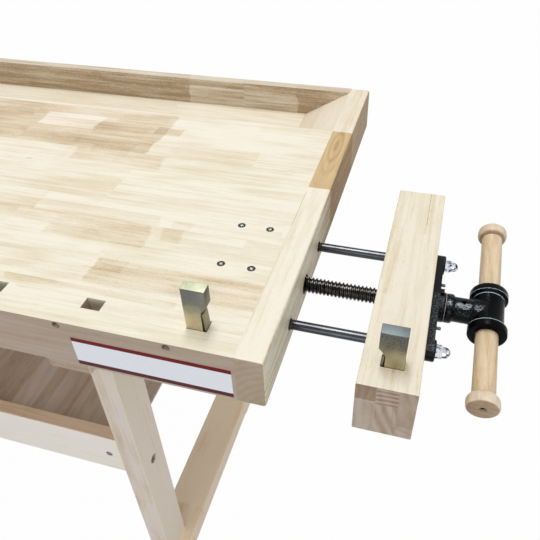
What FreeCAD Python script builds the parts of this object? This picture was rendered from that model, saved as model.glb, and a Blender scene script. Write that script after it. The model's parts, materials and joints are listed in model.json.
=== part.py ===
import FreeCAD, Part
import math
import os

os.makedirs("parts", exist_ok=True)

V = FreeCAD.Vector

# Woodworking bench, millimetres.  Corner frame used while building:
# x = 0 at the right-hand end, y = 0 at the front edge, z = 0 at the worktop.

# ---------------------------------------------------------------- overall
bench_length = 1600.0
bench_depth = 650.0
bench_height = 850.0
edge_height = 71.0
edge_round = 3.5
arris = 0.8

# ---------------------------------------------------------------- top
end_cap = 32.0
panel_thick = 30.0
panel_rear = 487.0
dog_face = 26.25
dog_slot = 16.5
dog_back = 17.25
rail_depth = dog_face + dog_slot + dog_back
back_rail = 18.0
apron_thick = 20.0
tray_drop = 48.0
tray_thick = 10.0
groove = 6.0
ramp_run = 80.0

# dog holes along the front rail
dog_width = 23.6
dog_first = 82.0
dog_pitch = 127.0
dog_count = 10

# peg holes through the face board of the front rail
peg_bore = 9.5
peg_drop = 6.2
peg_first = 106.5
peg_pitch = 131.0
peg_count = 9

# ---------------------------------------------------------------- trestles
right_trestle = -279.5
bearer_width = 60.0
vise_to_bearer = 6.0
bearer_bottom = -139.0
bearer_front = 37.0
leg_width = 38.0
leg_depth = 70.0
leg_front = 87.0
leg_rear = 55.0
leg_round = 3.0
tenon_width = 16.0
tenon_depth = 46.0
tenon_top = 35.0
tenon_foot = 30.0
foot_width = 80.0
foot_height = 50.0
foot_front = 25.0
foot_pad = 120.0
foot_relief = 5.0
foot_bevel = 14.0

# ---------------------------------------------------------------- shelf
shelf_rail_top = -423.0
shelf_rail_height = 98.0
shelf_rail_thick = 24.0
shelf_drop = 10.0
shelf_thick = 6.0
batten = 18.0
cross_width = 40.0
bolt_radius = 4.0
bolt_head = 6.5
bolt_head_high = 8.0
bolt_sink = 9.0
bolt_sink_deep = 12.0
bolt_reach = 62.0
dowel_radius = 6.0
dowel_inset = 42.5
dowel_play = 0.25

# ---------------------------------------------------------------- vises
jaw_length = 342.0
jaw_thick = 60.0
jaw_axis = 175.0
rod_drop = 44.5
axis_drop = 47.0
rod_lift = axis_drop - rod_drop
rod_spread = 74.0
rod_radius = 6.0
rod_stub = 4.0
rod_hole = 8.0
screw_radius = 10.0
screw_hole = 13.0
screw_inner = 307.0
running_fit = 0.05
seat_fit = 0.02
pad_radius = 12.5
pad_thick = 12.5
plate_thick = 10.0
plate_waist = 22.0
boss_radius = 18.0
boss_reach = 17.3
thrust_radius = 15.0
thrust_thick = 5.0
thrust_play = 0.1
collar_gap = 0.4
collar_radius = 17.5
collar_long = 8.6
neck_radius = 15.0
hub_reach = 66.7
hub_radius = 18.0
hub_long = 64.0
flange_radius = 22.0
flange_thick = 6.0
rim_bevel = 1.5
head_bore = 9.0
head_bore_deep = 30.0
head_pin = 2.5
head_pin_at = 20.0
handle_radius = 12.5
handle_long = 272.0
knob_radius = 17.7
knob_long = 16.6
knob_round = 7.0
knob_rim = 1.8
knob_tenon = 7.0
knob_tenon_long = 8.0
knob_sink = 4.5
knob_sink_deep = 5.0
nut_flats = 13.5
nut_hex = 7.5
nut_long = 16.0
nut_bore_deep = 12.0
casting_long = 60.0
casting_plate = 6.0
casting_boss = 17.0
casting_sleeve = 12.0
casting_margin = 3.0
casting_edge = 15.0
casting_gap = 13.0
bracket_screw = 2.75
bracket_x = 38.0
bracket_y = 78.5

tail_gap = 92.0
tail_handle_turn = 6.4
tail_handle_out = 7.4
front_gap = 40.0
front_handle_turn = 62.0
front_casting_gap = 5.0

# jaw dog hole, measured from the clamping face and the outer end of the jaw
jaw_dog_in = 31.0
dog_line = dog_face + dog_slot / 2

# ---------------------------------------------------------------- dogs
dog_thick = 13.4
dog_play = 0.4
dog_shank = 19.2
dog_head = 26.4
dog_head_high = 22.0
dog_under = 7.6
dog_neck = 20.2
dog_long = 150.0
dog_proud = 57.0
jaw_dog_proud = 46.6
leaf_thick = 1.6
leaf_width = 12.0
leaf_bow = 2.1
leaf_top = 3.0
leaf_foot = 22.0
rivet_radius = 2.5


def box(x0, x1, y0, y1, z0, z1):
    """Box between two corners."""
    return Part.makeBox(x1 - x0, y1 - y0, z1 - z0, V(x0, y0, z0))


def rod(start, direction, radius, length):
    return Part.makeCylinder(radius, length, start, direction)


def edges_where(shape, test):
    return [edge for edge in shape.Edges if test(edge)]


def along(axis):
    """Test for straight edges that run along one axis."""
    def test(edge):
        if edge.Curve.TypeId != "Part::GeomLine":
            return False
        step = edge.Vertexes[-1].Point.sub(edge.Vertexes[0].Point)
        return abs(abs(step.dot(axis)) - edge.Length) < 1e-6
    return test


def middle(edge):
    return edge.CenterOfMass


def turned(points, rounds, centre, axis):
    """Solid of revolution; rounds gives the centre of the arc that leaves a numbered point of its outline."""
    edges = []
    for n, start in enumerate(points):
        end = points[(n + 1) % len(points)]
        if n in rounds:
            hub = rounds[n]
            outward = start.add(end).multiply(0.5).sub(hub).normalize()
            crest = hub.add(outward.multiply(start.distanceToPoint(hub)))
            edges.append(Part.Arc(start, crest, end).toShape())
        else:
            edges.append(Part.makeLine(start, end))
    return Part.Face(Part.Wire(edges)).revolve(centre, axis, 360)


X = V(1, 0, 0)
Y = V(0, 1, 0)
Z = V(0, 0, 1)

half_dog = dog_width / 2
rail_right = -end_cap
rail_left = end_cap - bench_length
dog_holes = [-(dog_first + dog_pitch * n) for n in range(dog_count)]
pegs = [-(peg_first + peg_pitch * n) for n in range(peg_count)]
tail_y = jaw_axis
front_x = jaw_axis - bench_length
casting_half = rod_spread + casting_sleeve + casting_margin
left_trestle = front_x + casting_half + vise_to_bearer + bearer_width / 2
nodes = {}


# ================================================================ end caps
def end_board(outer, inner):
    """Clamp board across one end, with its outer edges rounded."""
    low = min(outer, inner)
    board = box(low, low + end_cap, 0, bench_depth, -edge_height, 0)
    long_edges = edges_where(board, lambda e: along(Y)(e) and abs(middle(e).x - outer) < 0.1)
    board = board.makeFillet(edge_round, long_edges)
    ends = edges_where(board, lambda e: along(Z)(e) and abs(middle(e).x - outer) < 0.1)
    return board.makeFillet(edge_round * 0.7, ends)


right_cap = end_board(0, -end_cap)
left_cap = end_board(-bench_length, rail_left)
vise_pattern = ((-rod_spread, rod_drop, rod_hole), (0, axis_drop, screw_hole), (rod_spread, rod_drop, rod_hole))
for offset, drop, radius in vise_pattern:
    right_cap = right_cap.cut(rod(V(-end_cap - 1, tail_y + offset, -drop), X, radius, end_cap + 2))
nodes["right_end_cap"] = right_cap
nodes["left_end_cap"] = left_cap

# ================================================================ front rail
# three layers: face board, the row of spacer blocks between the dog holes, back board
vise_bores = [
    rod(V(front_x + offset, -1, -drop), Y, radius, rail_depth + 2)
    for offset, drop, radius in vise_pattern
]
face = box(rail_left, rail_right, 0, dog_face, -edge_height, 0)
face = face.makeFillet(
    edge_round,
    edges_where(face, lambda e: along(X)(e) and middle(e).y < 0.1 and middle(e).z < -1),
)
for x in pegs:
    face = face.cut(rod(V(x, -1, -peg_drop), Y, peg_bore / 2, dog_face + 2))
core = box(rail_left, rail_right, dog_face, dog_face + dog_slot, -edge_height, 0)
for x in dog_holes:
    core = core.cut(box(x - half_dog, x + half_dog, 0, rail_depth, -edge_height - 1, 1))
back = box(rail_left, rail_right, dog_face + dog_slot, rail_depth, -edge_height, 0)
for bore in vise_bores:
    face = face.cut(bore)
    core = core.cut(bore)
    back = back.cut(bore)
nodes["front_rail_face"] = face
nodes["dog_hole_core"] = core
nodes["front_rail_back"] = back

# ================================================================ worktop
tail_casting_x = -(end_cap + casting_gap)
front_casting_y = rail_depth + front_casting_gap


def bracket_holes(centre_x, centre_y, spread_x, spread_y):
    """Four screw holes that hold a nut casting under the worktop."""
    spots = []
    for sx in (-0.5, 0.5):
        for sy in (-0.5, 0.5):
            spots.append((centre_x + sx * spread_x, centre_y + sy * spread_y))
    return spots


tail_screws = bracket_holes(tail_casting_x - casting_long / 2, tail_y, bracket_x, bracket_y)
front_screws = bracket_holes(front_x, front_casting_y + casting_long / 2, bracket_y, bracket_x)
panel = box(rail_left, rail_right, rail_depth, panel_rear, -panel_thick, 0)
for x, y in tail_screws + front_screws:
    panel = panel.cut(rod(V(x, y, -panel_thick - 1), Z, bracket_screw, panel_thick + 2))
    panel = panel.cut(Part.makeCone(bracket_screw, bracket_screw * 1.9, 3.0, V(x, y, -3.0), Z))
nodes["worktop_panel"] = panel

# ================================================================ tool tray
tray_front = panel_rear
tray_back = bench_depth - back_rail
tray_base = -(tray_drop + tray_thick)
floor = box(rail_left, rail_right, tray_front - groove, tray_back + groove, tray_base, -tray_drop)
apron = box(rail_left, rail_right, tray_front - apron_thick, tray_front, -edge_height, -panel_thick)
nodes["tray_apron"] = apron.cut(floor)
nodes["tray_floor"] = floor
nodes["back_rail"] = box(rail_left, rail_right, tray_back, bench_depth, -edge_height, 0).cut(floor)


def ramp(inner, direction):
    """Sloped block that lets chips be swept out of the tray."""
    toe = V(inner + direction * ramp_run, tray_front, -tray_drop)
    heel = V(inner, tray_front, -tray_drop)
    crest = V(inner, tray_front, 0)
    profile = Part.Face(Part.makePolygon([toe, heel, crest, toe]))
    return profile.extrude(V(0, tray_back - tray_front, 0))


nodes["tray_ramp_right"] = ramp(rail_right, -1)
nodes["tray_ramp_left"] = ramp(rail_left, 1)


# ================================================================ trestles
def tenon(x, y, z0, z1):
    return box(x - tenon_width / 2, x + tenon_width / 2,
               y + (leg_depth - tenon_depth) / 2, y + (leg_depth + tenon_depth) / 2, z0, z1)


rear_leg = bench_depth - leg_rear - leg_depth
leg_low = foot_height - bench_height
rail_mid_z = shelf_rail_top - shelf_rail_height / 2
rail_mid_front = leg_front + leg_depth / 2
rail_mid_rear = rear_leg + leg_depth / 2


def bearer(x):
    """Top bearer, stepped to follow the underside of the top."""
    bearer_back = bench_depth - bearer_front
    beam = box(x - bearer_width / 2, x + bearer_width / 2, bearer_front, bearer_back, bearer_bottom, -edge_height)
    chamfered = edges_where(beam, lambda e: (along(X)(e) or along(Z)(e))
                            and middle(e).z < -edge_height - 1
                            and (abs(middle(e).y - bearer_front) < 0.1 or abs(middle(e).y - bearer_back) < 0.1))
    beam = beam.makeFillet(edge_round, chamfered)
    west = x - bearer_width / 2
    east = x + bearer_width / 2
    beam = beam.fuse(box(west, east, rail_depth, tray_front - apron_thick, -edge_height - 1, -panel_thick))
    beam = beam.fuse(box(west, east, tray_front, bearer_back, -edge_height - 1, tray_base))
    for y in (leg_front, rear_leg):
        beam = beam.cut(tenon(x, y, bearer_bottom - 1, bearer_bottom + tenon_top))
    return beam.removeSplitter()


def foot(x):
    """Sled foot with bevelled ends and a relieved underside."""
    back_end = bench_depth - foot_front
    block = box(x - foot_width / 2, x + foot_width / 2, foot_front, back_end, -bench_height, leg_low)
    bevels = edges_where(block, lambda e: along(X)(e) and middle(e).z > leg_low - 1)
    block = block.makeChamfer(foot_bevel, bevels)
    long_tops = edges_where(block, lambda e: along(Y)(e) and middle(e).z > leg_low - 1)
    block = block.makeFillet(2.0, long_tops)
    relief = box(x - foot_width, x + foot_width, foot_front + foot_pad, back_end - foot_pad,
                 -bench_height - 1, -bench_height + foot_relief)
    relief = relief.makeFillet(foot_relief * 0.8, edges_where(relief, lambda e: along(X)(e)
                                                               and middle(e).z > -bench_height))
    block = block.cut(relief)
    for y in (leg_front, rear_leg):
        block = block.cut(tenon(x, y, leg_low - tenon_foot, leg_low + 1))
    return block


def leg(x, y, outward):
    """Post with a tenon at each end and a sunk hole for the shelf rail bolt."""
    post = box(x - leg_width / 2, x + leg_width / 2, y, y + leg_depth, leg_low, bearer_bottom)
    post = post.makeFillet(leg_round, edges_where(post, along(Z)))
    post = post.fuse(tenon(x, y, leg_low - tenon_foot, bearer_bottom + tenon_top))
    outer = x + outward * leg_width / 2
    inward = V(-outward, 0, 0)
    centre = y + leg_depth / 2
    post = post.cut(rod(V(outer + outward, centre, rail_mid_z), inward, bolt_radius + dowel_play, leg_width + 2))
    return post.cut(rod(V(outer + outward, centre, rail_mid_z), inward, bolt_sink, bolt_sink_deep + 1))


for side, x, outward in (("right", right_trestle, 1), ("left", left_trestle, -1)):
    nodes["bearer_" + side] = bearer(x)
    nodes["foot_" + side] = foot(x)
    nodes["leg_front_" + side] = leg(x, leg_front, outward)
    nodes["leg_rear_" + side] = leg(x, rear_leg, outward)

# ================================================================ shelf
shelf_right = right_trestle - leg_width / 2
shelf_left = left_trestle + leg_width / 2
shelf_rail_low = shelf_rail_top - shelf_rail_height


def rail_bolt(inner, outward, y):
    """Bolt through a leg into a cross dowel in the shelf rail."""
    inward = V(-outward, 0, 0)
    start = inner + outward * (leg_width - bolt_sink_deep)
    bolt = rod(V(start + outward * bolt_head_high, y, rail_mid_z), inward, bolt_head, bolt_head_high)
    bolt = bolt.fuse(rod(V(start, y, rail_mid_z), inward, bolt_radius,
                         leg_width - bolt_sink_deep + bolt_reach))
    nut = rod(V(inner - outward * dowel_inset, y - shelf_rail_thick / 2 + 1, rail_mid_z), Y,
              dowel_radius, shelf_rail_thick - 2)
    return bolt.fuse(nut)


def shelf_rail(y):
    """Long rail between the trestles, bored for its bolts and cross dowels."""
    board = box(shelf_left, shelf_right, y - shelf_rail_thick / 2, y + shelf_rail_thick / 2,
                shelf_rail_low, shelf_rail_top)
    board = board.makeFillet(2.0, edges_where(board, along(X)))
    for inner, outward in ((shelf_right, 1), (shelf_left, -1)):
        inward = V(-outward, 0, 0)
        board = board.cut(rod(V(inner + outward, y, rail_mid_z), inward,
                              bolt_radius + dowel_play, bolt_reach + 3))
        board = board.cut(rod(V(inner - outward * dowel_inset, y - shelf_rail_thick, rail_mid_z), Y,
                              dowel_radius + dowel_play, 2 * shelf_rail_thick))
    return board


for row, y in (("front", rail_mid_front), ("rear", rail_mid_rear)):
    nodes["shelf_rail_" + row] = shelf_rail(y)
    nodes["rail_bolt_" + row + "_right"] = rail_bolt(shelf_right, 1, y)
    nodes["rail_bolt_" + row + "_left"] = rail_bolt(shelf_left, -1, y)

shelf_front = rail_mid_front + shelf_rail_thick / 2
shelf_back = rail_mid_rear - shelf_rail_thick / 2
shelf_top = shelf_rail_top - shelf_drop
shelf_low = shelf_top - shelf_thick
shelf_mid_x = (shelf_left + shelf_right) / 2
nodes["shelf_panel"] = box(shelf_left, shelf_right, shelf_front, shelf_back, shelf_low, shelf_top)
nodes["shelf_batten_front"] = box(shelf_left, shelf_right, shelf_front, shelf_front + batten,
                                  shelf_low - batten, shelf_low)
nodes["shelf_batten_rear"] = box(shelf_left, shelf_right, shelf_back - batten, shelf_back,
                                 shelf_low - batten, shelf_low)
nodes["shelf_cross_batten"] = box(shelf_mid_x - cross_width / 2, shelf_mid_x + cross_width / 2,
                                  shelf_front + batten, shelf_back - batten, shelf_low - batten, shelf_low)


# ================================================================ vise parts
# Each vise is built with its screw along +x from the clamping face at x = 0,
# the screw axis on y = 0, z = 0, then set in place by set_vise.
def vise_jaw():
    """Wooden jaw, bored for the screw, the rods and one dog."""
    near = -jaw_axis
    jaw = box(0, jaw_thick, near, near + jaw_length, axis_drop - edge_height, axis_drop)
    jaw = jaw.makeChamfer(arris, edges_where(jaw, along(Y)))
    dog_y = near + dog_line
    jaw = jaw.cut(box(jaw_dog_in - half_dog, jaw_dog_in + half_dog, dog_y - dog_slot / 2, dog_y + dog_slot / 2,
                      axis_drop - edge_height - 1, axis_drop + 1))
    jaw = jaw.cut(rod(V(-1, 0, 0), X, screw_radius + 1.0, jaw_thick + 2))
    for side in (-1, 1):
        jaw = jaw.cut(rod(V(-1, side * rod_spread, rod_lift), X, rod_radius + seat_fit, jaw_thick + 2))
    return jaw


def vise_plate():
    """Cast front plate: waisted arms, a pad at each rod and the screw boss."""
    plate = rod(V(jaw_thick, 0, 0), X, plate_waist, plate_thick)
    lean = math.asin((plate_waist - pad_radius) / rod_spread)
    for side in (-1, 1):
        top_pad = V(jaw_thick, side * (rod_spread + pad_radius * math.sin(lean)),
                    rod_lift + pad_radius * math.cos(lean))
        low_pad = V(jaw_thick, top_pad.y, rod_lift - pad_radius * math.cos(lean))
        top_waist = V(jaw_thick, side * plate_waist * math.sin(lean), plate_waist * math.cos(lean))
        low_waist = V(jaw_thick, top_waist.y, -top_waist.z)
        wing = Part.Face(Part.makePolygon([top_pad, top_waist, low_waist, low_pad, top_pad]))
        plate = plate.fuse(wing.extrude(V(plate_thick, 0, 0)))
    for side in (-1, 1):
        pad = rod(V(jaw_thick, side * rod_spread, rod_lift), X, pad_radius, pad_thick)
        pad = pad.makeChamfer(1.2, edges_where(pad, lambda e: middle(e).x > jaw_thick + 1
                                               and e.Curve.TypeId == "Part::GeomCircle"))
        plate = plate.fuse(pad)
    boss = rod(V(jaw_thick, 0, 0), X, boss_radius, boss_reach)
    boss = boss.makeChamfer(1.5, edges_where(boss, lambda e: middle(e).x > jaw_thick + 1
                                             and e.Curve.TypeId == "Part::GeomCircle"))
    lug = box(jaw_thick, jaw_thick + boss_reach - 3.0, 2, 9, boss_radius - 4, boss_radius + 3)
    plate = plate.fuse(boss).fuse(lug)
    plate = plate.cut(rod(V(jaw_thick - 1, 0, 0), X, screw_radius + running_fit, boss_reach + 2))
    plate = plate.cut(rod(V(jaw_thick - 1, 0, 0), X, thrust_radius + thrust_play, thrust_thick + 2 * thrust_play + 1))
    for side in (-1, 1):
        plate = plate.cut(rod(V(jaw_thick - 1, side * rod_spread, rod_lift), X, rod_stub + seat_fit, pad_thick + 2))
    return plate.removeSplitter()


def vise_rod(side, gap):
    """Guide rod with a shouldered stub for the dome nut."""
    inner = jaw_thick - screw_inner + tail_gap - gap
    bar = rod(V(inner, side * rod_spread, rod_lift), X, rod_radius, jaw_thick - inner)
    bar = bar.makeChamfer(1.0, edges_where(bar, lambda e: middle(e).x < inner + 1
                                           and e.Curve.TypeId == "Part::GeomCircle"))
    return bar.fuse(rod(V(jaw_thick, side * rod_spread, rod_lift), X, rod_stub, pad_thick + nut_bore_deep - 1))


def vise_screw(gap):
    """Screw at its thread's outer diameter, with thrust flange and head spigot."""
    inner = jaw_thick - screw_inner + tail_gap - gap
    bar = rod(V(inner, 0, 0), X, screw_radius, jaw_thick + boss_reach - inner)
    bar = bar.makeChamfer(1.5, edges_where(bar, lambda e: middle(e).x < inner + 1
                                           and e.Curve.TypeId == "Part::GeomCircle"))
    bar = bar.fuse(rod(V(jaw_thick + thrust_play, 0, 0), X, thrust_radius, thrust_thick))
    tip = head_bore_deep + collar_gap - 0.5
    bar = bar.fuse(rod(V(jaw_thick + boss_reach, 0, 0), X, head_bore - seat_fit, tip))
    pin_x = jaw_thick + boss_reach + collar_gap + head_pin_at
    return bar.cut(rod(V(pin_x, 0, -boss_radius), Z, head_pin, 2 * boss_radius))


def vise_head():
    """T head: collar, neck, and the flanged cross hub for the handle."""
    start = jaw_thick + boss_reach + collar_gap
    hub_x = jaw_thick + hub_reach
    collar = rod(V(start, 0, 0), X, collar_radius, collar_long)
    collar = collar.makeChamfer(1.0, edges_where(collar, lambda e: e.Curve.TypeId == "Part::GeomCircle"))
    head = collar.fuse(rod(V(start, 0, 0), X, neck_radius, hub_x - start))
    head = head.fuse(rod(V(hub_x, -hub_long / 2, 0), Y, hub_radius, hub_long))
    for low in (-hub_long / 2, hub_long / 2 - flange_thick):
        rim = rod(V(hub_x, low, 0), Y, flange_radius, flange_thick)
        rim = rim.makeChamfer(rim_bevel, edges_where(rim, lambda e: e.Curve.TypeId == "Part::GeomCircle"))
        head = head.fuse(rim)
    head = head.cut(rod(V(hub_x, -hub_long, 0), Y, handle_radius + running_fit, 2 * hub_long))
    head = head.cut(rod(V(start - 1, 0, 0), X, head_bore, head_bore_deep + 1))
    head = head.cut(rod(V(start + head_pin_at, 0, -boss_radius), Z, head_pin, 2 * boss_radius))
    return head.removeSplitter()


def vise_handle(out):
    """Turned bar with a tenon at each end for its knobs."""
    hub_x = jaw_thick + hub_reach
    bar_long = handle_long - 2 * knob_long
    bar = rod(V(hub_x, out - bar_long / 2, 0), Y, handle_radius, bar_long)
    return bar.fuse(rod(V(hub_x, out - bar_long / 2 - knob_tenon_long, 0), Y, knob_tenon,
                        bar_long + 2 * knob_tenon_long))


def vise_knob(side, out):
    """Barrel-shaped stop knob with a sunk screw hole in its end."""
    hub_x = jaw_thick + hub_reach
    root = out + side * (handle_long / 2 - knob_long)
    away = V(0, side, 0)
    tip = root + side * knob_long
    outline = [(0, 0), (knob_radius - knob_round, 0), (knob_radius, knob_round),
               (knob_radius, knob_long - knob_rim), (knob_radius - knob_rim, knob_long), (0, knob_long)]
    arcs = {1: (knob_radius - knob_round, knob_round), 3: (knob_radius - knob_rim, knob_long - knob_rim)}

    def at(spot):
        return V(hub_x + spot[0], root + side * spot[1], 0)

    knob = turned([at(spot) for spot in outline], {n: at(hub) for n, hub in arcs.items()}, V(hub_x, 0, 0), Y)
    knob = knob.cut(rod(V(hub_x, root - side, 0), away, knob_tenon, knob_tenon_long + 1))
    return knob.cut(rod(V(hub_x, tip + side, 0), V(0, -side, 0), knob_sink, knob_sink_deep + 1))


def dome_nut(side):
    """Hexagon dome nut on the end of a guide rod."""
    start = jaw_thick + pad_thick
    corner = nut_flats / math.sqrt(3)
    points = []
    for n in range(7):
        turn = math.radians(60 * n)
        points.append(V(start, side * rod_spread + corner * math.cos(turn), rod_lift + corner * math.sin(turn)))
    hexagon = Part.Face(Part.makePolygon(points)).extrude(V(nut_hex, 0, 0))
    trim = rod(V(start, side * rod_spread, rod_lift), X, corner, nut_hex)
    trim = trim.makeChamfer(1.0, edges_where(trim, lambda e: middle(e).x > start + 1
                                             and e.Curve.TypeId == "Part::GeomCircle"))
    dome_radius = nut_flats / 2 - 0.6
    outline = [(0, 0), (dome_radius, 0), (dome_radius, nut_long - dome_radius), (0, nut_long)]
    points = [V(start + s, side * rod_spread + r, rod_lift) for r, s in outline]
    dome_hub = V(start + nut_long - dome_radius, side * rod_spread, rod_lift)
    dome = turned(points, {2: dome_hub}, V(start, side * rod_spread, rod_lift), X)
    nut = hexagon.common(trim).fuse(dome)
    return nut.cut(rod(V(start - 1, side * rod_spread, rod_lift), X, rod_stub + seat_fit, nut_bore_deep + 1))


def vise_casting(far, gap):
    """Nut and guide casting that hangs under the worktop; far is its near face's depth."""
    x1 = -gap - far
    x0 = x1 - casting_long
    top = axis_drop - panel_thick
    plate = box(x0, x1, -casting_half, casting_half, top - casting_plate, top)
    plate = plate.makeFillet(8.0, edges_where(plate, along(Z)))
    casting = plate.fuse(rod(V(x0, 0, 0), X, casting_boss, casting_long))
    for side in (-1, 1):
        casting = casting.fuse(rod(V(x0, side * rod_spread, rod_lift), X, casting_sleeve, casting_long))
    mid = (x0 + x1) / 2
    rib = box(mid - 4, mid + 4, -rod_spread, rod_spread, -4, top - 1)
    casting = casting.fuse(rib)
    casting = casting.cut(box(x0 - 1, x1 + 1, -casting_half, casting_half, top, top + 2 * casting_boss))
    casting = casting.cut(rod(V(x0 - 1, 0, 0), X, screw_radius + running_fit, casting_long + 2))
    for side in (-1, 1):
        casting = casting.cut(rod(V(x0 - 1, side * rod_spread, rod_lift), X, rod_radius + running_fit,
                                  casting_long + 2))
    for x, y in bracket_holes(mid, 0, bracket_x, bracket_y):
        casting = casting.cut(rod(V(x, y, -casting_boss), Z, bracket_screw, 2 * casting_boss))
    return casting.removeSplitter()


def build_vise(name, gap, turn, out, casting_far):
    """All the parts of one vise in its own frame."""
    parts = {
        "jaw": vise_jaw(),
        "plate": vise_plate(),
        "rod_a": vise_rod(-1, gap),
        "rod_b": vise_rod(1, gap),
        "screw": vise_screw(gap),
        "head": vise_head(),
        "handle": vise_handle(out),
        "knob_a": vise_knob(-1, out),
        "knob_b": vise_knob(1, out),
        "nut_a": dome_nut(-1),
        "nut_b": dome_nut(1),
        "casting": vise_casting(casting_far, gap),
    }
    for part in ("screw", "head", "handle", "knob_a", "knob_b"):
        parts[part].rotate(V(0, 0, 0), X, turn)
    return {name + "_" + part: shape for part, shape in parts.items()}


hub_stop = (handle_long - 2 * knob_long - hub_long) / 2 - 0.5
tail = build_vise("tail", tail_gap, tail_handle_turn, tail_handle_out, end_cap + casting_gap)
front = build_vise("front", front_gap, front_handle_turn, -hub_stop, rail_depth + front_casting_gap)
for name, shape in tail.items():
    shape.translate(V(tail_gap, tail_y, -axis_drop))
    nodes[name] = shape
for name, shape in front.items():
    shape.rotate(V(0, 0, 0), Z, -90)
    shape.translate(V(front_x, -front_gap, -axis_drop))
    nodes[name] = shape


# ================================================================ dogs
def dog_body(x, side, proud):
    """Flat steel dog; side is the direction its working face looks."""
    back_x = -side * (half_dog - 0.4)
    tip = -(dog_long - proud)
    face_x = back_x + side * dog_shank
    notch_x = back_x + side * dog_neck
    head_x = back_x + side * dog_head
    head_low = proud - dog_head_high
    notch_z = head_low - dog_under
    corners = [
        V(back_x, 0, tip + 3), V(back_x + side * 3, 0, tip), V(face_x - side * 3, 0, tip),
        V(face_x, 0, tip + 3), V(face_x, 0, notch_z - 3), V(notch_x, 0, notch_z),
        V(head_x, 0, head_low), V(head_x, 0, proud), V(back_x, 0, proud),
    ]
    blade = Part.Face(Part.makePolygon(corners + [corners[0]])).extrude(V(0, dog_thick, 0))
    blade.translate(V(x, dog_face + dog_play, 0))
    return blade


def dog_leaf(x, side, proud):
    """Bowed leaf spring riveted to the working side of the shank."""
    back_x = -side * (half_dog - 0.4)
    face_x = back_x + side * dog_shank
    high = proud - dog_head_high - dog_under - leaf_top
    low = -(dog_long - proud) + leaf_foot - 12
    mid = (high + low) / 2
    inner_arc = Part.Arc(V(face_x + side * 0.05, 0, low + 16), V(face_x + side * leaf_bow, 0, mid),
                         V(face_x + side * 0.9, 0, high)).toShape()
    outer_arc = Part.Arc(V(face_x + side * (0.05 + leaf_thick), 0, low + 16),
                         V(face_x + side * (leaf_bow + leaf_thick), 0, mid),
                         V(face_x + side * (0.9 + leaf_thick), 0, high)).toShape()
    cap = Part.makeLine(V(face_x + side * 0.9, 0, high), V(face_x + side * (0.9 + leaf_thick), 0, high))
    foot_a = Part.makeLine(V(face_x + side * (0.05 + leaf_thick), 0, low + 16),
                           V(face_x + side * (0.05 + leaf_thick), 0, low))
    foot_b = Part.makeLine(V(face_x + side * (0.05 + leaf_thick), 0, low), V(face_x + side * 0.05, 0, low))
    foot_c = Part.makeLine(V(face_x + side * 0.05, 0, low), V(face_x + side * 0.05, 0, low + 16))
    wire = Part.Wire(Part.__sortEdges__([inner_arc, cap, outer_arc, foot_a, foot_b, foot_c]))
    strip = Part.Face(wire).extrude(V(0, leaf_width, 0))
    strip.translate(V(x, dog_face + dog_play + (dog_thick - leaf_width) / 2, 0))
    return strip


nodes["bench_dog"] = dog_body(dog_holes[0], 1, dog_proud)
nodes["bench_dog_spring"] = dog_leaf(dog_holes[0], 1, dog_proud)
jaw_dog_x = tail_gap + jaw_dog_in
nodes["jaw_dog"] = dog_body(jaw_dog_x, -1, jaw_dog_proud)
nodes["jaw_dog_spring"] = dog_leaf(jaw_dog_x, -1, jaw_dog_proud)

# ================================================================ row frame
# origin at the middle of the footprint of the whole object, on the floor
hub_far = jaw_thick + hub_reach + flange_radius
east_end = tail_gap + hub_far
south_end = -(front_gap + hub_far)
to_row = V((bench_length - east_end) / 2, -(bench_depth + south_end) / 2, bench_height)

for name, shape in nodes.items():
    shape.translate(to_row)
    shape.exportStep("parts/" + name + ".step")
print("parts", len(nodes), "row offset", to_row)
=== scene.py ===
import bpy
import bmesh
import json
from math import ceil, cos, pi, radians, sin, sqrt
from types import SimpleNamespace
from mathutils import Matrix, Vector


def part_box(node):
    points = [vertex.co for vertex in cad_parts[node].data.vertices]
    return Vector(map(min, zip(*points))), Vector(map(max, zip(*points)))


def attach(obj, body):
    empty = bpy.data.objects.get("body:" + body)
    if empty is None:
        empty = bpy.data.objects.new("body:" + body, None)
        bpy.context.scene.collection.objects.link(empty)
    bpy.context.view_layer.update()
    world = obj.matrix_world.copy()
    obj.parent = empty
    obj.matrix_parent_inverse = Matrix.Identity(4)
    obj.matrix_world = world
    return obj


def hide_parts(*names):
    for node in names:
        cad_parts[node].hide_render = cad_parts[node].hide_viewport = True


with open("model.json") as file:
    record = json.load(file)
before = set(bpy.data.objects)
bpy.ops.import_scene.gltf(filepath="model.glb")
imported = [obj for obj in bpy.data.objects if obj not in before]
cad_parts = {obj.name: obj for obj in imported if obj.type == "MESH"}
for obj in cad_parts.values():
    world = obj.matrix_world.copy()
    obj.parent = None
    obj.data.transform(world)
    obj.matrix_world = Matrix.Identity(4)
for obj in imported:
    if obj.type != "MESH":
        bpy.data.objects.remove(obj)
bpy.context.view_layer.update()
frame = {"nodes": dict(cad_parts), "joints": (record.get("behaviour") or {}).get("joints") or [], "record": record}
nodes = frame["nodes"]
joints = {joint["name"]: joint for joint in frame["joints"]}
print("frame loaded,", len(nodes), "nodes")


def clearSelection():
    # out of edit mode, with nothing selected
    if bpy.context.object and bpy.context.object.mode != "OBJECT":
        bpy.ops.object.mode_set(mode="OBJECT")
    bpy.ops.object.select_all(action="DESELECT")


def pickOnly(piece):
    clearSelection()
    piece.select_set(True)
    bpy.context.view_layer.objects.active = piece


def startEditing(piece):
    pickOnly(piece)
    bpy.ops.object.mode_set(mode="EDIT")
    bpy.ops.mesh.select_all(action="SELECT")


def stopEditing():
    bpy.ops.object.mode_set(mode="OBJECT")


def nameIt(name):
    piece = bpy.context.object
    piece.name = name
    piece.data.name = name
    return piece


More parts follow.
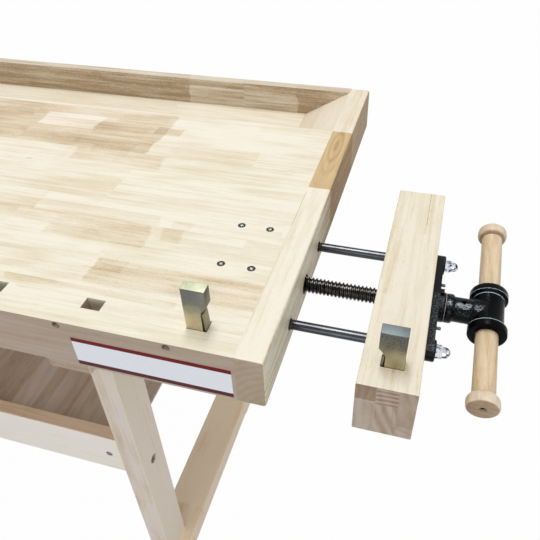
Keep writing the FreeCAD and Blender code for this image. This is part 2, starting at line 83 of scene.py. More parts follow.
def settle(name):
    # names the active object and leaves it at the origin, with its place in its mesh
    bpy.ops.object.transform_apply(location=True, rotation=True, scale=True)
    return nameIt(name)


def setDown(piece, matrix):
    piece.matrix_world = matrix
    pickOnly(piece)
    settle(piece.name)


def faceOut():
    bpy.ops.mesh.select_all(action="SELECT")
    bpy.ops.mesh.normals_make_consistent(inside=False)


def applyAll(piece):
    pickOnly(piece)
    for modifier in list(piece.modifiers):
        bpy.ops.object.modifier_apply(modifier=modifier.name)


def combine(piece, tool, operation):
    change = piece.modifiers.new(operation.lower(), "BOOLEAN")
    change.object = tool
    change.operation = operation
    change.solver = "EXACT"
    applyAll(piece)
    bpy.data.objects.remove(tool, do_unlink=True)


def joinPieces(name, *pieces):
    clearSelection()
    for piece in pieces:
        piece.select_set(True)
    bpy.context.view_layer.objects.active = pieces[0]
    bpy.ops.object.join()
    return nameIt(name)


def smoothen(piece, angle=35):
    pickOnly(piece)
    bpy.ops.object.shade_smooth_by_angle(angle=radians(angle))


def copyPiece(piece, name):
    pickOnly(piece)
    bpy.ops.object.duplicate(linked=False)
    return nameIt(name)


def turnPiece(name, rings, steps=48):
    # rings are (distance along z, radius), turned one after the other as on a lathe
    clearSelection()
    height, radius = rings[0]
    bpy.ops.mesh.primitive_circle_add(vertices=steps, radius=radius, fill_type="NGON",
                                      location=(0, 0, height))
    piece = settle(name)
    startEditing(piece)
    for nextHeight, nextRadius in rings[1:]:
        bpy.ops.mesh.extrude_region_move(TRANSFORM_OT_translate={"value": (0, 0, nextHeight - height)})
        ratio = nextRadius / radius
        bpy.ops.transform.resize(value=(ratio, ratio, 1), center_override=(0, 0, nextHeight))
        height, radius = nextHeight, nextRadius
    faceOut()
    stopEditing()
    return piece


def addBlock(name, low, high):
    clearSelection()
    low, high = Vector(low), Vector(high)
    bpy.ops.mesh.primitive_cube_add(size=1, location=(low + high) / 2)
    bpy.context.object.scale = high - low
    return settle(name)


def addHexagon(name, radius, low, high):
    clearSelection()
    bpy.ops.mesh.primitive_cylinder_add(vertices=6, radius=radius, depth=high - low,
                                        location=(0, 0, (low + high) / 2))
    piece = settle(name)
    return piece


def roundOver(centre, radius, first, last, steps):
    # points (height, radius) on an arc, angles in degrees from straight out
    points = []
    for step in range(steps + 1):
        angle = radians(first + (last - first) * step / steps)
        points.append((centre[0] + radius * sin(angle), centre[1] + radius * cos(angle)))
    return points


def moved(outline, along, out):
    # an outline that is drawn from a corner, put at that corner
    return [(height + along, radius + out) for height, radius in outline]


# turns of a lathe's z axis to the bench's x and y
zToX = Matrix(((0, 0, 1, 0), (0, 1, 0, 0), (-1, 0, 0, 0), (0, 0, 0, 1)))
zToY = Matrix(((1, 0, 0, 0), (0, 0, 1, 0), (0, -1, 0, 0), (0, 0, 0, 1)))


def axesAt(origin, alongX, alongY):
    turn = Matrix((alongX, alongY, alongX.cross(alongY))).transposed()
    return Matrix.Translation(origin) @ turn.to_4x4()


class Wire:
    # one socket of a node tree; + - * / on it add Math nodes
    def __init__(self, tree, socket):
        self.tree = tree
        self.socket = socket

    def node(self, kind, settings, values, out=0):
        made = self.tree.nodes.new("ShaderNode" + kind)
        for setting, value in settings.items():
            if setting == "stops":
                while len(made.color_ramp.elements) < len(value):
                    made.color_ramp.elements.new(0.5)
                for element, (position, shade) in zip(made.color_ramp.elements, value):
                    element.position = position
                    element.color = (*shade, 1)
            else:
                setattr(made, setting, value)
        for slot, value in values.items():
            if isinstance(value, Wire):
                self.tree.links.new(value.socket, made.inputs[slot])
            else:
                made.inputs[slot].default_value = value
        return Wire(self.tree, made.outputs[out])

    def other(self, out):
        return Wire(self.tree, self.socket.node.outputs[out])

    def math(self, operation, *others):
        return self.node("Math", {"operation": operation}, dict(enumerate((self,) + others)))

    def __add__(self, other):
        return self.math("ADD", other)

    def __sub__(self, other):
        return self.math("SUBTRACT", other)

    def __mul__(self, other):
        return self.math("MULTIPLY", other)

    def __truediv__(self, other):
        return self.math("DIVIDE", other)

    def __pow__(self, other):
        return self.math("POWER", other)

    def __neg__(self):
        return self.math("MULTIPLY", -1)

    def __rsub__(self, other):
        return -self + other

    def __rtruediv__(self, other):
        return self ** -1 * other

    __radd__ = __add__
    __rmul__ = __mul__

    def floor(self):
        return self.math("FLOOR")

    def fract(self):
        return self.math("FRACT")

    def size(self):
        return self.math("ABSOLUTE")

    def ripples(self):
        # a sine that runs from 0 to 1
        return self.math("SINE") * 0.5 + 0.5

    def step(self, low, high, bottom=0.0, top=1.0):
        settings = {"interpolation_type": "SMOOTHSTEP"}
        return self.node("MapRange", settings, {0: self, 1: low, 2: high, 3: bottom, 4: top})

    def stretch(self, factors):
        return self.node("VectorMath", {"operation": "MULTIPLY"}, {0: self, 1: factors})

    def split(self):
        return self.node("SeparateXYZ", {}, {0: self})

    def noise(self, scale=1.0, detail=2.0, rough=0.5, seed=0.0):
        values = {"Vector": self, "W": seed, "Scale": scale, "Detail": detail, "Roughness": rough}
        return self.node("TexNoise", {"noise_dimensions": "4D"}, values)

    def mix(self, first, second):
        settings = {"data_type": "RGBA"}
        return self.node("Mix", settings, {0: self, 6: asColour(first), 7: asColour(second)}, 2)

    def tinted(self, tint, amount=1.0):
        settings = {"data_type": "RGBA", "blend_type": "MULTIPLY"}
        return self.node("Mix", settings, {0: amount, 6: self, 7: asColour(tint)}, 2)


def asColour(value):
    return value if isinstance(value, Wire) else (*value, 1)


def newFinish(name):
    material = bpy.data.materials.new(name)
    material.use_nodes = True
    tree = material.node_tree
    shader = tree.nodes["Principled BSDF"]
    spot = tree.nodes.new("ShaderNodeTexCoord")
    return material, shader, Wire(tree, spot.outputs["Object"])


def feed(shader, **inputs):
    for name, value in inputs.items():
        socket = shader.inputs[name.replace("_", " ")]
        if isinstance(value, Wire):
            value.tree.links.new(value.socket, socket)
        else:
            socket.default_value = value


# colour of the wood by its shade, palest first
woodStops = [
    (0.0, (0.915, 0.855, 0.735)),
    (0.3, (0.81, 0.72, 0.56)),
    (0.6, (0.68, 0.555, 0.385)),
    (1.0, (0.47, 0.34, 0.20)),
]

# noise of each mark: the dice that move it and how far, scale along and across the grain, detail, roughness
woodNoise = {
    "wander": ("offset", 40, 2.2, 11, 2, 0.55), "ripple": ("tone", 40, 9, 60, 2, 0.6),
    "streak": ("offset", 30, 7, 190, 4, 0.62), "cloud": ("lean", 30, 6, 22, 4, 0.6),
    "drift": ("seed", 7, 1.6, 5, 3, 0.6), "pore": ("tone", 20, 60, 820, 1, 0.5),
    "grit": ("lean", 20, 260, 560, 2, 0.6),
}

# what all woods share: widths in metres of joints, soft edges and drawn lines, and colours
woodShape = dict(
    edge=0.0005, butt=0.0006, patchSoft=(0.002, 0.0015), line=(0.0003, 0.0009), lineSoft=0.001,
    blockSoft=0.0003, knotSoft=0.0005, holeSoft=0.0002,
    bump=0.35, relief=0.00035, rough=0.1, specular=0.35,
    hues=((1.0, 0.975, 0.975), (0.985, 1.0, 0.95)), knot=((0.72, 0.58, 0.37), (0.54, 0.39, 0.18)),
    # colour of the painted shade inside drilled holes
    holeShade=(0.34, 0.28, 0.24),
)


def inside(value, low, high, soft, strength=1.0):
    # strength between low and high, fading to nothing over twice the soft width
    reach = (high - low) / 2
    return (value - (low + high) / 2).size().step(reach - soft, reach + soft, strength, 0.0)


def layStaves(place, look):
    # the grain's own directions, the stave that a spot lies in, and three dice thrown for that stave
    order = ["XYZ".index(letter) for letter in look["grain"]]
    wood = SimpleNamespace(place=place, grain=order[0], seed=look["seed"])
    wood.axes, wood.normal = place.split(), place.other(1).split()
    wood.along, wood.across, wood.deep = (wood.axes.other(axis) for axis in order)
    wood.ends = wood.normal.other(wood.grain).size().step(0.55, 0.85)
    wood.board = (wood.across + look["shift"]) / look["stave"]
    wood.layer = ((wood.deep - look["heart"]) / look["layer"]).floor()
    row = wood.board.floor() + wood.layer * 17
    rowAt = place.node("CombineXYZ", {}, {0: row, 1: wood.seed})
    rowDice = place.node("TexWhiteNoise", {"noise_dimensions": "2D"}, {0: rowAt})
    wood.piece = wood.along / look["length"] * (rowDice * 0.5 + 0.75) + rowDice * 9
    diceAt = place.node("CombineXYZ", {}, {0: row, 1: wood.piece.floor(), 2: wood.seed})
    dice = place.node("TexWhiteNoise", {"noise_dimensions": "3D"}, {0: diceAt}, 1).split()
    wood.tone, wood.offset, wood.lean = dice, dice.other(1), dice.other(2)
    return wood


def markStaves(wood, look):
    # pores and joints run from 0 to 1, the other marks from -0.5 to 0.5
    for mark, (dice, throw, scaleAlong, scaleAcross, detail, rough) in woodNoise.items():
        factors = [scaleAcross] * 3
        factors[wood.grain] = scaleAlong
        noise = wood.place.stretch(factors).noise(1, detail, rough, getattr(wood, dice) * throw)
        setattr(wood, mark, noise.step(0.60, 0.72) if mark == "pore" else noise - 0.5)
    wood.edge = (wood.board.fract() - 0.5).size().step(0.5 - woodShape["edge"] / look["stave"], 0.5)
    wood.butt = (wood.piece.fract() - 0.5).size().step(0.5 - woodShape["butt"] / look["length"], 0.5)


def growRings(wood, look):
    # growth rings round a heart line that runs at a slant through each stave
    middle = wood.board.floor() + (wood.offset - 0.5) * look["spread"] + 0.5
    side = wood.across - middle * look["stave"]
    depth = wood.deep - look["heart"] - wood.layer * look["layer"] + (wood.tone - 0.5) * 0.10
    depth += (wood.lean - 0.5) * wood.along * 0.16
    depth += 0.03
    radius = (side * side + depth * depth) ** 0.5
    radius += wood.wander * look["wander"]
    radius += wood.ripple * 0.0016
    return (radius * (2 * pi / look["ring"])).ripples() ** 2.2


def shadeStaves(wood, look):
    flat = 1 - wood.ends
    shade = (wood.tone ** 1.7) * look["contrast"] + look["tone"]
    shade += growRings(wood, look) * (look["rings"] + wood.ends * look["endRings"])
    shade += wood.streak * look["streak"] * (flat + 0.3)
    shade += wood.cloud * look["cloud"]
    shade += wood.drift * look["drift"]
    shade += (wood.pore * 0.18 + wood.grit * (wood.offset * 0.25 + look["grit"])) * flat
    return shade + wood.ends * look["end"] + (wood.edge + wood.butt * 0.7) * look["glue"]


def shadePatches(wood, patches):
    # darker and lighter staves, and painted shade on the tray's back wall: from and to along the grain, from and
    # to across it, how much darker
    spots, soft = 0, woodShape["patchSoft"]
    along = wood.along + wood.cloud * 0.03 + wood.grit * 0.006
    across = wood.across + wood.cloud * 0.007
    for fromAlong, toAlong, fromAcross, toAcross, strength in patches:
        stretch = inside(along, fromAlong, toAlong, soft[0], strength)
        spots += stretch * inside(across, fromAcross, toAcross, soft[1])
    return spots * (wood.cloud * 1.6 + wood.grit * 0.8 + 1.0)


def turnedTo(wood, way):
    # 1 on the faces that are turned to +x, -y and so on
    axis, sign = "xyz".index(way[1]), 1 if way[0] == "+" else -1
    return (wood.normal.other(axis) * sign).step(0.5, 0.8)


def shadeLine(wood, way, spot, low, high, strength):
    # a glue line or a pencil line, from low to high
    line, run = (wood.across, wood.along) if way == "lengthwise" else (wood.along, wood.across)
    line = (line - spot).size().step(*woodShape["line"], strength, 0.0)
    return line * inside(run, low, high, woodShape["lineSoft"]) * (wood.grit * 3 + 0.9)


def endBlock(wood, fromAcross, toAcross, fromDeep, toDeep, strength):
    # one of the glued blocks that show on the end grain
    soft = woodShape["blockSoft"]
    across = inside(wood.across, fromAcross, toAcross, soft, strength)
    return across * inside(wood.deep, fromDeep, toDeep, soft) * wood.ends


def endStripes(wood, spot, wayAcross, wayDeep, gap, strength):
    # growth rings of one glued block, by the way that they cross the end
    line = wood.across * wayAcross + wood.deep * wayDeep + wood.ripple * 0.004 + wood.wander * 0.006
    return endBlock(wood, *spot, strength) * (line * (2 * pi / gap)).ripples()


def paintKnot(wood, painted, fromAlong, toAlong, knotAlong, knotAcross, longRadius, shortRadius):
    # one yellow block with a knot's loops in it
    block = inside(wood.along + wood.cloud * 0.004, fromAlong, toAlong, woodShape["knotSoft"])
    outAlong, outAcross = (wood.along - knotAlong) / longRadius, (wood.across - knotAcross) / shortRadius
    loops = (outAlong ** 2 + outAcross ** 2) ** 0.5 + wood.wander * 2.2 + wood.ripple * 0.8
    lines = (loops * 2 * pi * 0.8).ripples() ** 2.5
    figure = lines * loops.step(0.3, 4.5, 0.8, 0.12) + wood.streak + 0.15
    return painted.tinted(figure.mix(*woodShape["knot"]), block)


def burnHoles(wood, painted, low, high, front, back):
    # painted shade on the walls of the holes drilled along y: lowest and highest z, first and last y
    soft = woodShape["holeSoft"]
    holeShade = inside(wood.axes.other(2), low, high, soft) * inside(wood.axes.other(1), front, back, soft)
    return painted.tinted(woodShape["holeShade"], holeShade)


def woodFinish(name, look):
    shape = woodShape
    material, shader, place = newFinish(name)
    wood = layStaves(place, look)
    markStaves(wood, look)
    shade = shadeStaves(wood, look)
    if look["patches"]:
        shade += shadePatches(wood, look["patches"])
    # painted shade, or painted light where the strength is negative, on the faces turned one way
    for way, low, high, strength in look["turned"]:
        paintedSideShade = wood.along.step(low, high) * strength + wood.grit * 0.3 + wood.streak
        shade += turnedTo(wood, way) * paintedSideShade
    for line in look["lines"]:
        shade += shadeLine(wood, *line)
    for spot, strength in look["endBlocks"]:
        shade += endBlock(wood, *spot, strength)
    for stripes in look["endStripes"]:
        shade += endStripes(wood, *stripes)

    painted = place.node("ValToRGB", {"stops": woodStops}, {0: shade})
    painted = painted.tinted(wood.drift.step(-0.25, 0.25).mix(*shape["hues"])).tinted(look["tint"])
    if look["knot"]:
        painted = paintKnot(wood, painted, *look["knot"])
    # end grain darker, and painted shade on the faces to the front
    endsAndFrontShade = wood.ends
    if look["frontShade"]:
        endsAndFrontShade = endsAndFrontShade.math("MAXIMUM", turnedTo(wood, "-y") * look["frontShade"])
    painted = painted.tinted(look["endAndFrontShadeTint"], endsAndFrontShade)
    # painted shade on the faces that look up
    if look["topTint"]:
        painted = painted.tinted(look["topTint"], turnedTo(wood, "+z"))
    # painted shade on the walls of the drilled holes
    if look["holes"]:
        painted = burnHoles(wood, painted, *look["holes"])
    relief = wood.streak * 0.5 - wood.pore * 0.6 - (wood.edge + wood.butt) * 0.8 + wood.grit * 0.4
    bump = place.node("Bump", {}, {"Height": relief, "Strength": shape["bump"], "Distance": shape["relief"]})
    feed(shader, Base_Color=painted, Normal=bump, Roughness=shade * shape["rough"] + look["gloss"],
         Specular_IOR_Level=shape["specular"])
    return material


capLow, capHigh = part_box("right_end_cap")
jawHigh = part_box("tail_jaw")[1]
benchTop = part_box("worktop_panel")[1].z
frontEdge = capLow.y
rimLow, rimHigh = 0.7954, 0.850  # the back rail's inner face above the tray

# grain: the axis along the grain, then across and deep. stave and length of the glued strips, ring, wander,
# heart, layer and spread lay the growth rings, and shift moves the staves. contrast, tone, rings, endRings,
# streak, cloud, drift, grit, end and glue say how dark each mark is. tint colours all of it, the end tint the end
# grain and, with the front shade amount, the faces to the front as painted shade, topTint the faces that look up
# as painted shade. turned adds painted shade on the faces turned one way, or painted light where it is negative.
plainWood = dict(
    grain="YXZ", stave=0.2, length=2.9, ring=0.0085, wander=0.012, contrast=0.1, rings=0.12,
    endRings=0.04, streak=0.8, cloud=0.8, drift=0.6, grit=0.12, end=0.2, glue=0.05,
    gloss=0.48, layer=10.0, heart=0.78, shift=0.0, spread=1.0, frontShade=0.0, tint=(1, 1, 1),
    endAndFrontShadeTint=(0.72, 0.66, 0.63), topTint=None, knot=None, holes=None, patches=[], turned=[],
    lines=[], endBlocks=[], endStripes=[],
)


def jawBlock(left, right, low, high):
    # a block of the jaw's end, by its distances from the jaw's outer top corner
    return jawHigh.x - left, jawHigh.x - right, jawHigh.z - low, jawHigh.z - high


worktopPatches = [
    (-0.35, 0.385, 0.122, 0.25, 0.42), (0.155, 0.262, 0.178, 0.222, -0.36), (-0.05, 0.13, 0.200, 0.226, 0.16),
    (0.265, 0.355, 0.163, 0.208, 0.05), (0.29, 0.375, 0.210, 0.246, 0.06), (0.365, 0.415, 0.186, 0.210, 0.30),
    (0.02, 0.26, 0.122, 0.156, 0.06), (0.25, 0.36, 0.134, 0.148, 0.14), (0.29, 0.355, 0.112, 0.134, 0.14),
    (0.27, 0.42, 0.083, 0.122, 0.24), (0.42, 0.62, 0.106, 0.16, 0.05), (0.02, 0.25, 0.078, 0.118, -0.08),
    (0.16, 0.475, -0.046, -0.022, 0.24), (0.495, 0.522, -0.072, -0.028, 0.18),
    (0.335, 0.48, -0.092, -0.046, 0.22), (0.20, 0.335, -0.070, -0.046, 0.18),
    (0.435, 0.66, -0.164, -0.120, 0.32), (0.437, 0.475, -0.142, -0.120, 0.16),
    (0.19, 0.43, -0.165, -0.120, 0.05), (0.204, 0.213, 0.0695, 0.0725, 0.5), (-0.35, -0.1, 0.15, 0.19, 0.16),
    (-0.62, -0.3, 0.02, 0.06, 0.24), (-0.3, 0.05, -0.11, -0.07, 0.26), (-0.7, -0.45, -0.16, -0.12, 0.26),
]
# the tray's back wall: painted shadow, darkest at the right end by the ramp, in bands that are partly its glued
# layers
backWallShadeAndTone = [
    (0.553, 0.72, rimLow - 0.02, rimHigh + 0.001, 0.44), (0.34, 0.553, rimHigh - 0.013, rimHigh + 0.001, 0.3),
    (-1.0, 0.34, rimLow + 0.016, rimHigh + 0.001, 0.46), (-1.0, 0.34, rimLow - 0.02, rimLow + 0.016, 0.3),
    (0.05, 0.31, rimLow, rimLow + 0.012, 0.14), (0.15, 0.33, 0.825, 0.838, 0.1),
]
# from, to and how much darker, all along the shelf
shelfBands = [
    (0.130, 0.169, -0.11), (0.170, 0.194, 0.10), (0.196, 0.238, -0.07), (0.239, 0.246, 0.10),
    (0.247, 0.262, -0.07), (0.264, 0.275, 0.07), (0.02, 0.128, 0.16), (-0.16, -0.08, -0.10),
    (-0.38, -0.31, 0.12),
]
jawEndBlocks = [
    (jawBlock(0.07, 0.0395, 0.022, -0.01), 0.66), (jawBlock(0.0175, -0.01, 0.025, -0.01), 0.2),
    (jawBlock(0.0175, -0.01, 0.054, 0.025), 0.16),
]
# block, how the rings cross it, their distance, how dark
jawEndStripes = [
    (jawBlock(0.0395, 0.0175, 0.025, -0.01), 0.0, 1.0, 0.0062, 0.62),
    (jawBlock(0.07, 0.039, 0.09, 0.022), 1.0, 0.16, 0.019, 0.16),
    (jawBlock(0.039, 0.0175, 0.09, 0.025), 0.9, 0.34, 0.0105, 0.44),
    (jawBlock(0.0175, -0.01, 0.09, 0.054), 0.4, 0.8, 0.0075, 0.2),
    (jawBlock(0.0175, -0.01, 0.054, -0.01), 1.0, 0.1, 0.012, 0.12),
]

# each wood's dice are seeded by its place in this list
woodLooks = dict(
    end_cap=dict(
        length=0.42, contrast=0.06, tone=0.02, rings=0.08, end=0.3,
        patches=[(frontEdge + 0.487, frontEdge + 0.66, 0.6, 0.7, 0.12)],
        knot=(frontEdge + 0.3208, frontEdge + 0.487, 0.212, 0.662, 0.03, 0.0055),
        lines=[("lengthwise", capLow.x, -0.003, 0.078, 0.9), ("lengthwise", capLow.x, -1, 1, 0.12)],
        # painted shade on the +x side, deeper towards the back
        turned=[("+x", -0.6, -0.5, 0.12), ("+x", 0.0, 0.12, 0.86)], endAndFrontShadeTint=(0.57, 0.52, 0.505)),
    rail_face=dict(
        grain="XZY", length=0.46, tone=0.0, rings=0.08, drift=0.35, cloud=0.7,
        # painted shade on the rail's front face, through the front tint
        heart=frontEdge - 0.03, frontShade=1.0, endAndFrontShadeTint=(0.545, 0.475, 0.47),
        # painted shade on the walls of the dog holes
        holes=(0.8385, 0.8495, frontEdge + 0.006, frontEdge + 0.027)),
    rail_core=dict(grain="XYZ", length=0.5, tone=-0.08),
    rail_back=dict(
        grain="XYZ", length=0.5, tone=-0.06,
        patches=[(0.34, 0.56, -0.181, -0.164, 0.26)]),
    worktop=dict(
        grain="XYZ", stave=0.042, length=0.34, contrast=0.14, tone=0.0, shift=0.003,
        patches=worktopPatches),
    tray_wood=dict(grain="XYZ", stave=0.07, length=0.6, tone=0.04),
    back_rail=dict(
        grain="XZY", length=0.6, contrast=0.02, tone=0.11, rings=0.06,
        # painted shade on the tray's back wall, which faces the front
        heart=capHigh.y - 0.06, turned=[("-y", -2.0, -1.0, 0.3)], tint=(0.88, 0.885, 0.95),
        patches=backWallShadeAndTone),
    ramp_wood=dict(
        length=0.6, tone=0.2, rings=0.04, streak=0.3, cloud=0.5),
    bearer_wood=dict(
        length=0.8, contrast=0.2, tone=0.22, tint=(0.91, 0.90, 0.97)),
    foot_wood=dict(
        length=0.8, tone=-0.25, streak=0.5, cloud=1.2,
        patches=[(-1.0, -0.02, 0.3, 1.0, 0.3)], tint=(1.17, 1.03, 0.93)),
    leg_wood=dict(
        # painted shade on the faces to the front
        grain="ZXY", stave=0.04, length=0.7, contrast=0.2, tone=0.02, heart=0.0, frontShade=0.65,
        # painted light on the +x faces
        turned=[("+x", -1.0, -0.5, -0.25)], tint=(1.06, 1.025, 1.005), endAndFrontShadeTint=(0.72, 0.72, 0.80)),
    shelf_rail_wood=dict(
        grain="XZY", length=0.7, contrast=0.2, tone=-0.16, heart=-0.2,
        # painted shade, darker and warmer, on the top, which lies under the bench top
        turned=[("+z", -3.0, -2.0, 0.28)], tint=(1.06, 1.10, 1.19), topTint=(1.0, 0.79, 0.66)),
    shelf_wood=dict(
        stave=0.7, tone=0.5, cloud=1.0, heart=0.34, rings=0.13,
        ring=0.03, wander=0.16, streak=0.28, tint=(0.90, 0.87, 1.03),
        patches=[(-1.0, 1.0, *band) for band in shelfBands]),
    batten_wood=dict(grain="XYZ", length=0.8, contrast=0.2, tone=0.3),
    tail_jaw_wood=dict(
        stave=0.0205, contrast=0.06, tone=0.02, cloud=1.0, rings=0.13,
        ring=0.011, wander=0.07, layer=0.05, heart=jawHigh.z - 0.0245, spread=3.0, streak=0.9, endRings=0.04,
        end=0.24, shift=0.041 - jawHigh.x, endBlocks=jawEndBlocks, endStripes=jawEndStripes,
        lines=[("lengthwise", jawHigh.x - 0.018, 0.02, 0.112, 0.6),
               ("crosswise", frontEdge + 0.0235, 0.7, 0.9, 0.16)],
        patches=[(-0.10, 0.0, jawHigh.x - 0.054, jawHigh.x - 0.041, 0.14)],
        tint=(0.95, 0.945, 0.91), endAndFrontShadeTint=(0.665, 0.64, 0.71)),
    front_jaw_wood=dict(
        grain="XYZ", stave=0.0205, contrast=0.06, tone=0.0, rings=0.10, ring=0.006,
        wander=0.03, layer=0.05, heart=jawHigh.z - 0.0245, spread=3.0, streak=0.5, endRings=0.16, end=0.22,
        endAndFrontShadeTint=(0.66, 0.62, 0.61)),
    handle_wood=dict(
        tone=0.43, rings=0.14, streak=1.0,
        tint=(1.0, 0.92, 0.84)),
    knob_wood=dict(
        tone=0.35, end=0.35,
        tint=(1.0, 0.975, 1.0), endAndFrontShadeTint=(0.68, 0.64, 0.61)),
)
finishes = {}
for seed, (slot, changes) in enumerate(woodLooks.items(), 1):
    finishes[slot] = woodFinish(slot.title().replace("_", ""), {**plainWood, "seed": seed, **changes})
print("wood finishes made,", len(finishes))


enamelLook = dict(pits=330, relief=0.0005, bump=0.7, gloss=0.10, rough=0.22,
                  black=(0.0012, 0.0018, 0.0024), bright=(0.56, 0.64, 0.68))


def blackEnamel(name, bright, gleam=0.05, glintAt="top"):
    # gloss paint over rough cast iron, with painted highlights and glints where it faces up and a little to the
    # front:
    # all of its "top", a "band" along it with a few painted glints beside, or a "rim"
    look = enamelLook
    material, shader, place = newFinish(name)
    lumps, fine = place.noise(look["pits"], 3, 0.6), place.noise(1000, 3, 0.7)
    normal = place.other(1).split()
    facing = normal.other(2) * 0.9 - normal.other(1) * 0.42
    if glintAt == "rim":
        glintMask = fine.step(0.36, 0.56) * normal.other(2).step(0.1, 0.5)
    elif glintAt == "band":
        streaks = place.stretch((0.3, 0.8, 1.9)).noise(1200, 3, 0.75)
        glintMask = (facing + (lumps - 0.5) * 0.14).step(0.945, 0.99) * streaks.step(0.45, 0.57)
        glintMask = glintMask + facing.step(0.35, 0.8) * fine.step(0.60, 0.68) * 0.6
    else:
        glintMask = fine.step(0.46, 0.62) * facing.step(0.84, 0.99)
    bump = place.node("Bump", {}, {"Height": lumps, "Strength": look["bump"], "Distance": look["relief"]})
    feed(shader, Base_Color=(glintMask * bright).mix(look["black"], look["bright"]), Normal=bump,
         Roughness=lumps * look["rough"] + look["gloss"], Specular_IOR_Level=gleam)
    return material


# noise of the grime, which on the bright zinc is painted reflection: scale, detail and roughness, and where it
# turns from dark to light
metalLooks = {
    "groundSteel": {"dark": (0.038, 0.040, 0.043), "light": (0.066, 0.069, 0.073), "grimeAndReflection": (26, 3, 0.6),
     "edge": (0.35, 0.7), "marks": (900, 2, 0.6), "rough": 0.14, "gloss": 0.1},
    "rolledSteel": {"dark": (0.010, 0.009, 0.008), "light": (0.055, 0.053, 0.05), "grimeAndReflection": (160, 3, 0.65),
     "edge": (0.3, 0.72), "rough": 0.16, "gloss": 0.1},
    # dark and light patches of painted reflection on the dome nuts
    "brightZinc": {"dark": (0.03, 0.034, 0.06), "light": (0.70, 0.72, 0.79), "grimeAndReflection": (170, 3, 0.6),
                   "edge": (0.40, 0.56), "rough": 0.14, "gloss": 0.06},
    "springSteel": {"dark": (0.16, 0.15, 0.11), "light": (0.36, 0.33, 0.22), "gloss": 0.28},
    "boltSteel": {"dark": (0.17, 0.17, 0.18), "light": (0.31, 0.31, 0.32), "gloss": 0.25},
    "darkOxide": {"dark": (0.025, 0.024, 0.024), "light": (0.08, 0.078, 0.075), "gloss": 0.32},
    # bare steel painted near white: a painted highlight on the washers, and lighter than the shade in the drive
    # recesses
    "driveSteel": {"dark": (0.86, 0.85, 0.82), "light": (0.97, 0.96, 0.93), "gloss": 0.35, "metallic": 0.0},
}


def metalFinish(name):
    look = {"grimeAndReflection": (500, 3, 0.6), "rough": 0.2, "metallic": 1.0, **metalLooks[name]}
    material, shader, place = newFinish(name)
    grimeAndReflection = place.noise(*look["grimeAndReflection"])
    marks = place.noise(*look["marks"]) if "marks" in look else grimeAndReflection
    amount = grimeAndReflection.step(*look["edge"]) if "edge" in look else grimeAndReflection
    feed(shader, Base_Color=amount.mix(look["dark"], look["light"]), Metallic=look["metallic"],
         Roughness=marks * look["rough"] + look["gloss"])
    return material


# fade: how far below the top the yellow starts; grain: how speckled the upper part is
dogLooks = {
    "bench_dog": {"piece": "benchDog", "finish": "dogZinc", "fade": 0.047, "grain": 0.25,
                  "crown": (0.60, 0.63, 0.45)},
    "jaw_dog": {"piece": "jawDog", "finish": "jawDogZinc", "fade": 0.055, "grain": 1.0,
                "crown": (0.20, 0.235, 0.24)},
}
zincLook = dict(
    stops=[(0.0, (0.15, 0.158, 0.15)), (0.35, (0.20, 0.198, 0.16)), (0.65, (0.42, 0.395, 0.265)),
              (0.95, (0.62, 0.56, 0.385))],
    speckle=(0.42, 0.38, 0.36), crownDark=0.72, relief=0.0001, bump=0.3, gloss=0.3,
)


def dogFinish(node):
    # blue-grey where it was dipped last, olive yellow lower down, its own shade on the crown
    look, dog = zincLook, dogLooks[node]
    material, shader, place = newFinish(dog["finish"])
    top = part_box(node)[1].z
    patches = place.noise(42, 4, 0.6)
    fine = place.noise(620, 3, 0.6)
    low = (top - place.split().other(2)) / dog["fade"] + (patches - 0.5) * 0.9
    hue = place.node("ValToRGB", {"stops": look["stops"]}, {0: low})
    clear = place.noise(720, 3, 0.7).step(0.42, 0.6)
    hue = hue.tinted(look["speckle"], (1 - clear) * low.step(0.15, 0.6, dog["grain"], 0.12))
    onCrown = place.other(1).split().other(2).step(0.7, 0.9)
    darkCrown = [part * look["crownDark"] for part in dog["crown"]]
    crownHue = (patches + fine * 0.4).step(0.5, 0.8).mix(darkCrown, dog["crown"])
    bump = place.node("Bump", {}, {"Height": fine, "Strength": look["bump"], "Distance": look["relief"]})
    feed(shader, Base_Color=onCrown.mix(hue, crownHue), Metallic=1.0, Normal=bump,
         Roughness=fine * 0.22 + onCrown * 0.2 + look["gloss"])
    return material


finishes["black_iron"] = blackEnamel("blackEnamel", 0.0)
# painted glints on the plates, a painted highlight band on the neck and painted highlight arcs on the flanges
castEnamel = blackEnamel("castEnamel", 0.3, 0.08)
wornEnamel = blackEnamel("wornEnamel", 0.9, 0.08, "band")
rimEnamel = blackEnamel("rimEnamel", 1.0, 0.12, "rim")
finishes["rod_steel"] = metalFinish("groundSteel")
finishes["screw_steel"] = metalFinish("rolledSteel")
finishes["nut_zinc"] = metalFinish("brightZinc")
finishes["leaf_steel"] = metalFinish("springSteel")
finishes["bolt_steel"] = metalFinish("boltSteel")
darkOxide = metalFinish("darkOxide")
driveSteel = metalFinish("driveSteel")
dogFinishes = {node: dogFinish(node) for node in dogLooks}
finishes["dog_steel"] = dogFinishes["bench_dog"]
print("metal finishes made")


def dress(piece, *materials):
    piece.data.materials.clear()
    for material in materials:
        piece.data.materials.append(material)


for part in frame["record"]["subparts"]:
    dress(nodes[part["node"]], finishes[part["material_slot"]])
for plate in ("tail_plate", "front_plate"):
    # black enamel with painted glints on its upward faces
    dress(nodes[plate], castEnamel)
print("nodes dressed")


